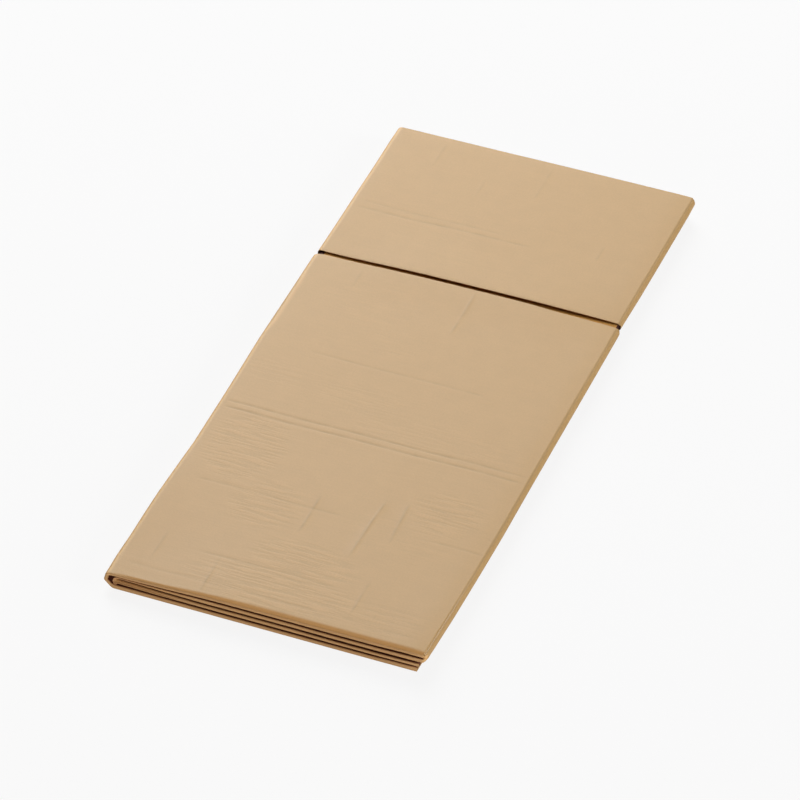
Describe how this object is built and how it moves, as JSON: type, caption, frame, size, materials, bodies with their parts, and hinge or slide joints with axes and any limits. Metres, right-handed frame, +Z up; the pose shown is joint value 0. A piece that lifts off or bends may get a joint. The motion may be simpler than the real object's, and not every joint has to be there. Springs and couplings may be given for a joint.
{
  "type": "cutlery pouch napkin",
  "caption": "Folded kraft-brown airlaid paper napkin with a cross slit on its front that opens into a pouch for cutlery.",
  "frame": {"origin": "under the middle of the folded napkin, on the surface it lies on", "axes": "+X across the panels, with the loose outer fold at -X and the tight fold at +X; +Y along the pouch, from its closed end towards the slit and the far end; +Z up, out of the face with the slit"},
  "size_m": [0.085, 0.2008, 0.0058],
  "materials": {
    "airlaid_paper": "matt, soft fibrous kraft brown"
  },
  "bodies": {
    "root": {"folded_napkin": "airlaid_paper"}
  },
  "joints": []
}
